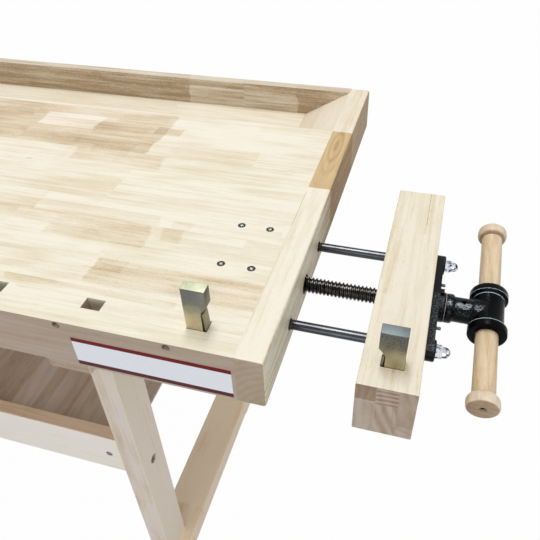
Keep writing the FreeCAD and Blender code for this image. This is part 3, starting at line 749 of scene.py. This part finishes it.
# distances from the jaw's clamping face along the screw, and from the screw's axis; angles in degrees
viseShape = {
    "jaw": 0.060, "plate": 0.010, "pad": 0.0125, "boss": 0.0173, "gap": 0.0004, "rodSpread": 0.074,
    "rodLift": 0.0025, "hub": 0.0667, "handleLong": 0.272, "washerGap": 0.00005, "studSpread": 0.0375,
    "studLift": 0.0013, "nutTurn": 12, "nutTurnApart": 25,
    "tail": {"inner": -0.247, "handleOut": 0.0074},
    "front": {"inner": -0.195, "handleOut": -0.0869},
}


def viseAxes(vise):
    # still for the jaw's parts, turned for those that go round with the screw
    hinge = joints[vise + "_screw_turn"]
    out, spot = Vector(hinge["axis"]), Vector(hinge["pos_m"])
    handleWay = Vector(joints[vise + "_handle_slide"]["axis"])
    still = axesAt(spot, out, Vector((0, 0, 1)).cross(out))
    return still, axesAt(spot, out, handleWay)


# thread: the outline of one turn as radius and part of the pitch; the other outlines ease a corner
screwShape = dict(
    pitch=0.00475, crest=0.010, root=0.0081, steps=32, merge=0.00002,
    thread=[("root", 0), ("root", 0.28), ("crest", 0.50), ("crest", 0.78), ("root", 1.0)],
    intoJaw=0.005, plainStart=[(-0.0005, -0.0012), (0.0007, 0)], flange=0.015, flangeFrom=0.0001,
    flangeTo=0.0051, spigot=0.00898, spigotEnd=[(0.0290, 0), (0.0298, -0.0008)],
)


def makeThread(name, inner, outer):
    # one turn's outline, wound round the axis and cut square at both ends
    shape, pitch = screwShape, screwShape["pitch"]
    points = [Vector((shape[radius], 0, part * pitch)) for radius, part in shape["thread"]]
    clearSelection()
    bpy.ops.mesh.primitive_plane_add(size=pitch, location=(0, 0, 0))
    thread = nameIt(name)
    startEditing(thread)
    bpy.ops.mesh.merge(type="CENTER")
    bpy.ops.transform.translate(value=points[0])
    for before, after in zip(points, points[1:]):
        bpy.ops.mesh.extrude_region_move(TRANSFORM_OT_translate={"value": after - before})
    stopEditing()
    winding = thread.modifiers.new("winding", "SCREW")
    winding.angle = 2 * pi
    winding.screw_offset = pitch
    winding.iterations = ceil((outer - inner) / pitch) + 3  # a turn and a half past each cut
    winding.steps = winding.render_steps = shape["steps"]
    applyAll(thread)
    startEditing(thread)
    bpy.ops.mesh.remove_doubles(threshold=shape["merge"])
    bpy.ops.mesh.normals_make_consistent(inside=False)
    bpy.ops.transform.translate(value=(0, 0, inner - 1.5 * pitch))
    for spot, cleared in ((inner, "clear_inner"), (outer, "clear_outer")):
        bpy.ops.mesh.select_all(action="SELECT")
        bpy.ops.mesh.bisect(plane_co=(0, 0, spot), plane_no=(0, 0, 1), use_fill=True, **{cleared: True})
    faceOut()
    stopEditing()
    return thread


def makeScrew(vise):
    shape, crest, spigot = screwShape, screwShape["crest"], screwShape["spigot"]
    thread = makeThread("thread", viseShape[vise]["inner"], shape["intoJaw"])
    tip = viseShape["jaw"] + viseShape["boss"]
    flangeFrom, flangeTo = viseShape["jaw"] + shape["flangeFrom"], viseShape["jaw"] + shape["flangeTo"]
    journal = turnPiece("journal", [
        *moved(shape["plainStart"], shape["intoJaw"], crest), (flangeFrom, crest),
        (flangeFrom, shape["flange"]), (flangeTo, shape["flange"]), (flangeTo, crest), (tip, crest),
        (tip, spigot),
        *moved(shape["spigotEnd"], tip, spigot)])
    screw = joinPieces(vise + "ThreadedScrew", thread, journal)
    smoothen(screw, 30)
    return screw


# the lists are outlines, each drawn from the corner that it eases; past: how far a cutter stands out
headShape = dict(
    collar=0.0175, collarLong=0.0086, neck=0.015, hub=0.018, hubLong=0.064, flange=0.022,
    flangeThick=0.0105, handle=0.01255, flare=0.0009, spigot=0.009, spigotDeep=0.030,
    pin=0.0025, pinAt=0.020, pinReach=0.03, past=0.002,
    collarFront=[(0, -0.0012), (0.0004, -0.0004), (0.0012, 0)],
    collarBack=[(-0.0012, 0), (-0.0002, -0.0006)],
    neckStart=[(0.0006, 0.0006), (0.0020, 0)],
    neckFlare=[(-0.0045, 0), (-0.0010, 0.0007), (0.0020, 0.0019)],
    fillet=[(-0.0024, 0), (-0.0015, 0.0002), (-0.0006, 0.0008), (0, 0.0020)],
    lipInner=[(0.0005, -0.0005), (0.0010, 0), (0.0018, 0)],
    lipOuter=[(-0.0018, 0), (-0.0006, -0.0006), (0, -0.0020), (0, -0.0042), (-0.0007, -0.0050),
                 (-0.0007, -0.0062), (0, -0.0068)],
)


def cutHead(head, name, rings, matrix, steps=48):
    cutter = turnPiece(name, rings, steps)
    setDown(cutter, matrix)
    combine(head, cutter, "DIFFERENCE")


def makeHead():
    shape = headShape
    start = viseShape["jaw"] + viseShape["boss"] + viseShape["gap"]
    hubAt = viseShape["jaw"] + viseShape["hub"]
    collar, neck, hub, outer = (shape[key] for key in ("collar", "neck", "hub", "flange"))
    half = shape["hubLong"] / 2
    inner = half - shape["flangeThick"]
    collarEnd = start + shape["collarLong"]
    head = turnPiece("head", [
        *moved(shape["collarFront"], start, collar), *moved(shape["collarBack"], collarEnd, collar),
        *moved(shape["neckStart"], collarEnd, neck), *moved(shape["neckFlare"], hubAt - hub, neck),
        (hubAt, hub - 0.0006)], 64)
    setDown(head, zToX)
    lip = [*moved(shape["fillet"], inner, hub), *moved(shape["lipInner"], inner, outer),
           *moved(shape["lipOuter"], half, outer), (half, shape["handle"] + 0.0004)]
    hubBody = turnPiece("hub", [(-height, radius) for height, radius in reversed(lip)] + lip, 72)
    hubMatrix = Matrix.Translation((hubAt, 0, 0)) @ zToY
    setDown(hubBody, hubMatrix)
    combine(head, hubBody, "UNION")
    bore, flare, past = shape["handle"], shape["flare"], shape["past"]
    cutHead(head, "handleBore", [
        (-half - past, bore + flare + past), (-half + flare, bore), (half - flare, bore),
        (half + past, bore + flare + past)], hubMatrix, 64)
    spigot, reach = shape["spigot"], shape["pinReach"]
    cutHead(head, "socket", [(start - 0.001, spigot), (start + shape["spigotDeep"], spigot)], zToX)
    cutHead(head, "pinHole", [(-reach, shape["pin"]), (reach, shape["pin"])],
            Matrix.Translation((start + shape["pinAt"], 0, 0)), 20)
    dress(head, finishes["black_iron"], wornEnamel, rimEnamel)
    markHead(head, start, hubAt, inner)
    smoothen(head, 38)
    return head


def markHead(head, start, hubAt, inner):
    # second material, with its painted highlight band and glints, on collar and neck; third, with painted
    # highlight arcs, on a thin ring of each flange and at the foot of its fillet
    hub, outer, skin = headShape["hub"], headShape["flange"], 0.0003
    fillet = [inner + height for height, _ in headShape["fillet"][:2]]
    rim = [inner + height for height, _ in headShape["lipInner"][1:]]
    for face in head.data.polygons:
        spot = face.center
        fromHub = sqrt((spot.x - hubAt) ** 2 + spot.z ** 2)
        fromAxis = sqrt(spot.y ** 2 + spot.z ** 2)
        if start < spot.x < hubAt and fromAxis < hub - 0.0004 and face.normal.x > -0.45:
            face.material_index = 1
        elif rim[0] < abs(spot.y) < rim[1] and fromHub > outer - skin:
            face.material_index = 2
        elif fillet[0] < abs(spot.y) < fillet[1] and fromHub > hub - skin:
            face.material_index = 2


washerShape = dict(hole=0.0093, radius=0.0184, thick=0.0003, ease=0.0001)


def makeWasher():
    # thin ring between the cast plate's boss and the head, its bare steel painted near white as a highlight
    hole, radius, thick, ease = washerShape.values()
    rings = [(0, radius - ease), (ease, radius), (thick - ease, radius), (thick, radius - ease)]
    washer = turnPiece("washer", rings, 64)
    combine(washer, turnPiece("drill", [(-0.001, hole), (0.001, hole)]), "DIFFERENCE")
    smoothen(washer, 30)
    return washer


# innerRound and outerRound are the radii of its edges; sink: the hole for its screw
knobShape = dict(
    radius=0.0177, long=0.0166, neck=0.0128, innerRound=0.0072, outerRound=0.0040,
    bellyEnd=0.0062, edgeInset=0.0042, sink=0.0045, sinkDeep=0.005,
    sinkMouth=[(0, 0.0008), (-0.0004, 0)],
    screwLift=0.0019,
)


def makeKnob():
    # turned with its inner face at z = 0
    shape, radius, long = knobShape, knobShape["radius"], knobShape["long"]
    inner, outer = shape["innerRound"], shape["outerRound"]
    knob = turnPiece("knob", [
        (0, shape["neck"]), *roundOver((inner, radius - inner), inner, -80, 0, 8),
        (long - shape["bellyEnd"], radius),
        *roundOver((long - outer, radius - shape["edgeInset"]), outer, 8, 90, 7),
        *moved(shape["sinkMouth"], long, shape["sink"]), (long - shape["sinkDeep"], shape["sink"])], 56)
    smoothen(knob, 50)
    return knob


def makeDrive(long, wide, deep, turn=0.0):
    # cross recess tool, its mouth at z = 0
    arms = []
    for angle in (0, 90):
        arm = addBlock("arm", (-long / 2, -wide / 2, -deep), (long / 2, wide / 2, deep))
        startEditing(arm)
        cage = bmesh.from_edit_mesh(arm.data)
        for face in cage.faces:
            face.select_set(face.normal.z < -0.5)
        cage.select_flush_mode()
        bmesh.update_edit_mesh(arm.data)
        bpy.ops.transform.resize(value=(0.45, 0.8, 1), center_override=(0, 0, -deep))
        stopEditing()
        setDown(arm, Matrix.Rotation(radians(angle + turn), 4, "Z"))
        arms.append(arm)
    combine(arms[0], arms[1], "UNION")
    return arms[0]


nutShape = dict(
    flats=0.0135, hex=0.0075, long=0.016, crownInset=0.0005, crownSink=0.001,
    lowEdge=[(-0.0001, -0.0006), (0.0005, 0.0001)], highEdge=[(-0.0010, 0.0001), (0.0001, -0.0013)],
)


def makeDomeNut():
    shape, hexHigh, long = nutShape, nutShape["hex"], nutShape["long"]
    corner = shape["flats"] / sqrt(3)
    nut = addHexagon("nut", corner, 0, hexHigh)
    edges = moved(shape["lowEdge"], 0, corner) + moved(shape["highEdge"], hexHigh, corner)
    combine(nut, turnPiece("barrel", edges, 60), "INTERSECT")
    crown = shape["flats"] / 2 - shape["crownInset"]
    dome = turnPiece("dome", [(hexHigh - shape["crownSink"], crown), (long - crown, crown),
                              *roundOver((long - crown, 0), crown, 6, 87, 10)])
    combine(nut, dome, "UNION")
    smoothen(nut, 30)
    return nut


# rim: the head's edge, from its radius at the top; drive: length, width and depth of the cross recess
topScrewShape = dict(
    head=0.00505, headDeep=0.0030, shank=0.0024, tip=[(-0.0055, 0), (-0.006, -0.0005)],
    rim=[(-0.00008, -0.0004), (-0.0002, -0.00012), (-0.0005, -0.00015)], drive=(0.0066, 0.0015, 0.0013),
    recess=(0.0024, 0.0036), nut=0.0046, nutThick=0.004, nutEase=0.0004, casting=0.006,
    alongScrew=0.038, acrossScrew=0.0785, turn=20, turnApart=37,
)


def markRecess(piece, depth, reach):
    # second material on the faces inside a drive recess: bare steel painted near white, lighter than the recess's
    # shade
    for face in piece.data.polygons:
        centre = face.center
        if -depth < centre.z < -0.00015 and sqrt(centre.x ** 2 + centre.y ** 2) < reach:
            face.material_index = 1


def makeTopScrew(through):
    shape = topScrewShape
    screw = turnPiece("topScrew", [
        *moved(shape["rim"], 0, shape["head"]), (-shape["headDeep"], shape["shank"]),
        *moved(shape["tip"], -through, shape["shank"])], 32)
    combine(screw, makeDrive(*shape["drive"]), "DIFFERENCE")
    dress(screw, darkOxide, driveSteel)
    markRecess(screw, *shape["recess"])
    nut = addHexagon("topScrewNut", shape["nut"], -through - shape["nutThick"], -through)
    startEditing(nut)
    bpy.ops.mesh.bevel(offset=shape["nutEase"], segments=2)
    stopEditing()
    dress(nut, darkOxide)
    screw = joinPieces("topScrew", screw, nut)
    smoothen(screw, 30)
    return screw


knobScrewShape = dict(
    head=[(-0.0030, 0.0018), (-0.0019, 0.0018), (-0.0019, 0.0036), (-0.0008, 0.0036), (-0.0002, 0.0030),
             (0, 0.0018)],
    drive=(0.0040, 0.0010, 0.0012, 20),
)


def makeKnobScrew():
    # pan head at the bottom of the knob's sunk hole, top at z = 0
    head = turnPiece("knobScrew", knobScrewShape["head"], 32)
    combine(head, makeDrive(*knobScrewShape["drive"]), "DIFFERENCE")
    smoothen(head, 30)
    return head


studShape = dict(
    foot=(-0.001, 0.0020), pitch=0.0009, turns=6, crest=0.0021, root=0.0017,
    tip=(0.0005, 0.0012),
)


def makePlateStud():
    # end of a machine screw with a few turns of thread, standing on the cast plate at z = 0
    shape, pitch = studShape, studShape["pitch"]
    rings = [shape["foot"]]
    for turn in range(shape["turns"]):
        for part, radius in ((0, "root"), (0.35, "crest"), (0.6, "crest"), (0.95, "root")):
            rings.append((turn * pitch + pitch * part, shape[radius]))
    rings += moved([shape["tip"]], shape["turns"] * pitch, 0)
    stud = turnPiece("plateStud", rings, 24)
    smoothen(stud, 50)
    return stud


headModel, knobModel, nutModel, washerModel = makeHead(), makeKnob(), makeDomeNut(), makeWasher()
knobScrewModel, studModel = makeKnobScrew(), makePlateStud()
# the screws reach through the panel and the casting's plate under it
topScrewModel = makeTopScrew(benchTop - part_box("worktop_panel")[0].z + topScrewShape["casting"])
print("vise parts modelled")


def fitCopy(model, name, matrix, body, slot, material=None, replaced=()):
    # a model that isn't dressed yet gets the material, or else the finish of its slot
    piece = copyPiece(model, name)
    setDown(piece, matrix)
    if not model.data.materials:
        dress(piece, material or finishes[slot])
    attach(piece, body)
    if replaced:
        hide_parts(*replaced)
    return piece


def fitVise(vise):
    shape, still, turned = viseShape, *viseAxes(vise)
    jawSet, screwSet, handleSet = (vise + ending for ending in ("_jaw_set", "_screw_set", "_handle_set"))
    jaw = shape["jaw"]
    screw = makeScrew(vise)
    fitCopy(screw, vise + "Screw", turned @ zToX, screwSet, "screw_steel", replaced=[vise + "_screw"])
    bpy.data.objects.remove(screw, do_unlink=True)
    fitCopy(headModel, vise + "Head", turned, screwSet, "black_iron", replaced=[vise + "_head"])
    washerAt = Matrix.Translation((jaw + shape["boss"] + shape["washerGap"], 0, 0)) @ zToX
    fitCopy(washerModel, vise + "Washer", still @ washerAt, jawSet, "bolt_steel", driveSteel)
    screwAt = knobShape["long"] - knobShape["sinkDeep"] + knobShape["screwLift"]
    for side, letter in ((-1, "a"), (1, "b")):
        end = letter.upper()
        knobAt = shape[vise]["handleOut"] + side * (shape["handleLong"] / 2 - knobShape["long"])
        outward = zToY if side > 0 else Matrix.Rotation(pi, 4, "X") @ zToY
        spin = Matrix.Translation((jaw + shape["hub"], knobAt, 0)) @ outward
        fitCopy(knobModel, vise + "Knob" + end, turned @ spin, handleSet, "knob_wood",
                replaced=[vise + "_knob_" + letter])
        seat = spin @ Matrix.Translation((0, 0, screwAt))
        fitCopy(knobScrewModel, vise + "KnobScrew" + end, turned @ seat, handleSet, "bolt_steel", darkOxide)
        nutAt = Matrix.Translation((jaw + shape["pad"], side * shape["rodSpread"], shape["rodLift"])) @ zToX
        nutAt = nutAt @ Matrix.Rotation(radians(shape["nutTurn"] + shape["nutTurnApart"] * side), 4, "Z")
        fitCopy(nutModel, vise + "DomeNut" + end, still @ nutAt, jawSet, "nut_zinc",
                replaced=[vise + "_nut_" + letter])
        studAt = Matrix.Translation((jaw + shape["plate"], side * shape["studSpread"], shape["studLift"])) @ zToX
        fitCopy(studModel, vise + "PlateStud" + end, still @ studAt, jawSet, "bolt_steel")


fitVise("tail")
fitVise("front")
print("vises fitted")


dogEase = dict(width=0.0006, segments=2, sharp=25)  # sharp: the least angle that is eased, in degrees


def easeDog(node):
    # the forged body again, with its edges eased so that they catch the light
    dog = copyPiece(nodes[node], dogLooks[node]["piece"])
    startEditing(dog)
    bpy.ops.mesh.remove_doubles(threshold=0.00001)
    bpy.ops.mesh.dissolve_limited(angle_limit=radians(2))
    bpy.ops.mesh.select_all(action="DESELECT")
    bpy.ops.mesh.select_mode(type="EDGE")
    bpy.ops.mesh.edges_select_sharp(sharpness=radians(dogEase["sharp"]))
    bpy.ops.mesh.bevel(offset=dogEase["width"], segments=dogEase["segments"], affect="EDGES",
                       clamp_overlap=True)
    stopEditing()
    smoothen(dog, 30)
    dress(dog, dogFinishes[node])
    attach(dog, node + "_set")
    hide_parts(node)


for dogNode in dogLooks:
    easeDog(dogNode)
print("dogs eased")


def fitTopScrews(vise, wideX, wideY):
    # four screws through the top into the vise's nut casting
    low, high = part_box(vise + "_casting")
    middle = (low + high) / 2
    corners = [(-0.5, -0.5), (-0.5, 0.5), (0.5, -0.5), (0.5, 0.5)]
    for count, (sideX, sideY) in enumerate(corners, 1):
        spot = Matrix.Translation((middle.x + sideX * wideX, middle.y + sideY * wideY, benchTop))
        turn = Matrix.Rotation(radians(topScrewShape["turn"] + topScrewShape["turnApart"] * count), 4, "Z")
        fitCopy(topScrewModel, vise + "TopScrew" + str(count), spot @ turn, "bench", "bolt_steel")


fitTopScrews("tail", topScrewShape["alongScrew"], topScrewShape["acrossScrew"])
fitTopScrews("front", topScrewShape["acrossScrew"], topScrewShape["alongScrew"])
for model in (headModel, knobModel, nutModel, washerModel, knobScrewModel, studModel, topScrewModel):
    bpy.data.objects.remove(model, do_unlink=True)
print("top screws fitted")


# the bands: distances from the label's edge at which each fades out
labelShape = dict(
    right=0.036, wide=0.188, drop=0.0215, high=0.0437, thick=0.0004, ease=0.0001,
    topBand=(0.0057, 0.0053), lowBand=(0.0062, 0.0066), specular=0.1, gloss=0.4,
    white=((0.87, 0.90, 0.98), (0.92, 0.95, 1.0)), red=((0.15, 0.008, 0.012), (0.20, 0.012, 0.018)),
    dark=((0.075, 0.018, 0.024), (0.13, 0.026, 0.034)),
)


def labelPaper(low, high):
    # bare white label with a red band along its top edge and a darker one along the bottom
    material, shader, place = newFinish("labelPaper")
    height = place.split().other(2)
    speck = place.noise(90, 3, 0.6)
    white, red, dark = (speck.mix(*labelShape[key]) for key in ("white", "red", "dark"))
    topBand = height.step(*[high - part for part in labelShape["topBand"]])
    lowBand = height.step(*[low + part for part in labelShape["lowBand"]], 1.0, 0.0)
    feed(shader, Base_Color=lowBand.mix(topBand.mix(white, red), dark),
         Roughness=speck * 0.1 + labelShape["gloss"], Specular_IOR_Level=labelShape["specular"])
    return material


def fitLabel():
    right = capHigh.x - labelShape["right"]
    high = benchTop - labelShape["drop"]
    low = high - labelShape["high"]
    label = addBlock("frontLabel", (right - labelShape["wide"], frontEdge - labelShape["thick"], low),
                     (right, frontEdge, high))
    startEditing(label)
    bpy.ops.mesh.bevel(offset=labelShape["ease"], segments=1)
    stopEditing()
    dress(label, labelPaper(low, high))
    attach(label, "bench")


fitLabel()
print("label fitted")


# angles in degrees, the lens in millimetres
view = dict(place=(0.81075, -0.59305, 1.3052), lens=39.657, yaw=18.228, down=40.797, roll=-2.748,
            nearest=0.01)


def setCamera():
    yaw, down, roll = (radians(view[key]) for key in ("yaw", "down", "roll"))
    ahead = Vector((-sin(yaw) * cos(down), cos(yaw) * cos(down), -sin(down)))
    right = ahead.cross(Vector((0, 0, 1))).normalized()
    up = right.cross(ahead)
    alongX = cos(roll) * right + sin(roll) * up
    alongY = cos(roll) * up - sin(roll) * right
    data = bpy.data.cameras.new("camera")
    camera = bpy.data.objects.new("camera", data)
    bpy.context.scene.collection.objects.link(camera)
    camera.matrix_world = axesAt(view["place"], alongX, alongY)
    data.lens = view["lens"]
    data.clip_start = view["nearest"]
    bpy.context.scene.camera = camera


# world: how brightly it lights the bench; floor: its grey, as the bench sees it
studio = dict(world=0.45, floor=0.45, floorRough=0.8, floorWhite=0.985, floorSize=12)
lamps = {
    "keyLamp": {"place": (0.35, 0.35, 3.9), "aim": (0.35, 0.25, 0.85), "size": (0.62, 1.8), "power": 54},
    "fillLamp": {"place": (0.9, -3.2, 1.0), "aim": (0.3, 0, 0.6), "size": (2.2, 2.2), "power": 32},
    "sideLamp": {"place": (3.2, -0.6, 1.3), "aim": (0.5, 0, 0.7), "size": (1.5, 1.5), "power": 6},
}


def seenRays(wire):
    # 1 for what the camera sees, straight, in a gloss or through glass
    rays = wire.node("LightPath", {}, {})
    return rays.math("MAXIMUM", rays.other(3)).math("MAXIMUM", rays.other(6))


def setWorld():
    world = bpy.data.worlds.new("studio")
    world.use_nodes = True
    bpy.context.scene.world = world
    background = world.node_tree.nodes["Background"]
    seen = seenRays(Wire(world.node_tree, background.outputs[0]))
    feed(background, Color=(1, 1, 1, 1), Strength=seen * (1 - studio["world"]) + studio["world"])


def layFloor():
    clearSelection()
    bpy.ops.mesh.primitive_plane_add(size=studio["floorSize"], location=(0, 0, 0))
    floor = nameIt("floor")
    material, shader, place = newFinish("floorWhite")
    tree = material.node_tree
    feed(shader, Base_Color=asColour([studio["floor"]] * 3), Roughness=studio["floorRough"])
    glow = place.node("Emission", {}, {"Color": (1, 1, 1, 1), "Strength": 1.0})
    blend = place.node("MixShader", {}, {0: seenRays(place) * studio["floorWhite"], 2: glow})
    tree.links.new(shader.outputs[0], blend.socket.node.inputs[1])
    tree.links.new(blend.socket, tree.nodes["Material Output"].inputs["Surface"])
    dress(floor, material)


def hangLamp(name, lamp):
    data = bpy.data.lights.new(name, "AREA")
    data.shape = "RECTANGLE"
    data.size, data.size_y = lamp["size"]
    data.energy = lamp["power"]
    hung = bpy.data.objects.new(name, data)
    bpy.context.scene.collection.objects.link(hung)
    hung.location = lamp["place"]
    hung.rotation_euler = (Vector(lamp["aim"]) - Vector(lamp["place"])).to_track_quat("-Z", "Y").to_euler()


setCamera()
setWorld()
layFloor()
for lampName, lamp in lamps.items():
    hangLamp(lampName, lamp)
bpy.context.scene.view_settings.view_transform = "Standard"
print("camera, floor and light set")
